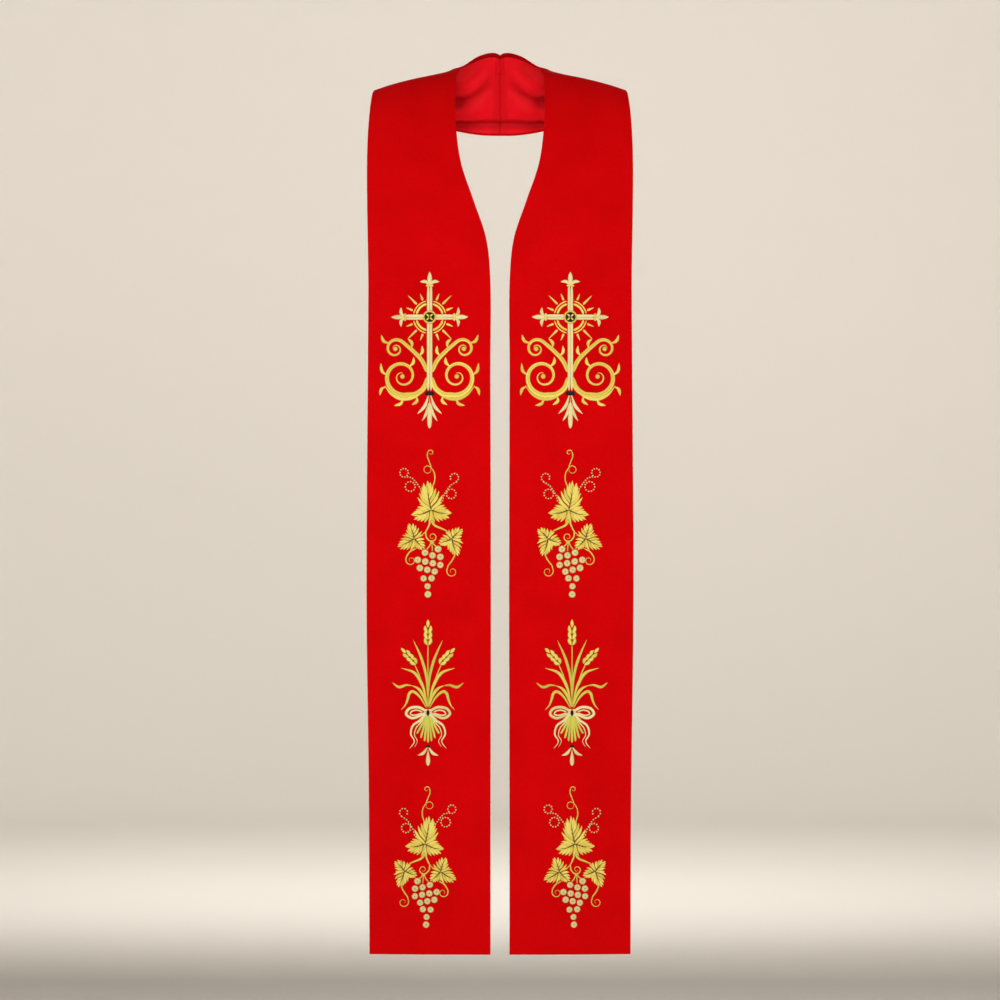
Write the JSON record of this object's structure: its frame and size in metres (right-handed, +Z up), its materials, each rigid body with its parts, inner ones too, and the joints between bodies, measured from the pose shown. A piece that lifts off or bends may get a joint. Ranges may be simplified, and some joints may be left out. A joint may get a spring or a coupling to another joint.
{
  "type": "clerical stole",
  "caption": "Liturgical stole in red cloth, worn round the neck, with satin lining and embroidered straight fronts of equal length.",
  "frame": {"origin": "middle of the neck opening, level with the top of the shoulders beside it, where the wearer holds the stole up", "axes": "+Z up, -Y the front, +X the wearer's left"},
  "size_m": [0.349, 0.2137, 1.1875],
  "materials": {
    "outer_cloth": "matt red crepe",
    "lining_satin": "soft red satin",
    "gold_thread": "lustrous gold embroidery thread",
    "pale_thread": "lustrous pale gold embroidery thread",
    "black_thread": "black embroidery thread"
  },
  "bodies": {
    "root": {"outer_left": "outer_cloth", "outer_right": "outer_cloth", "lining_left": "lining_satin", "lining_right": "lining_satin"}
  },
  "joints": []
}
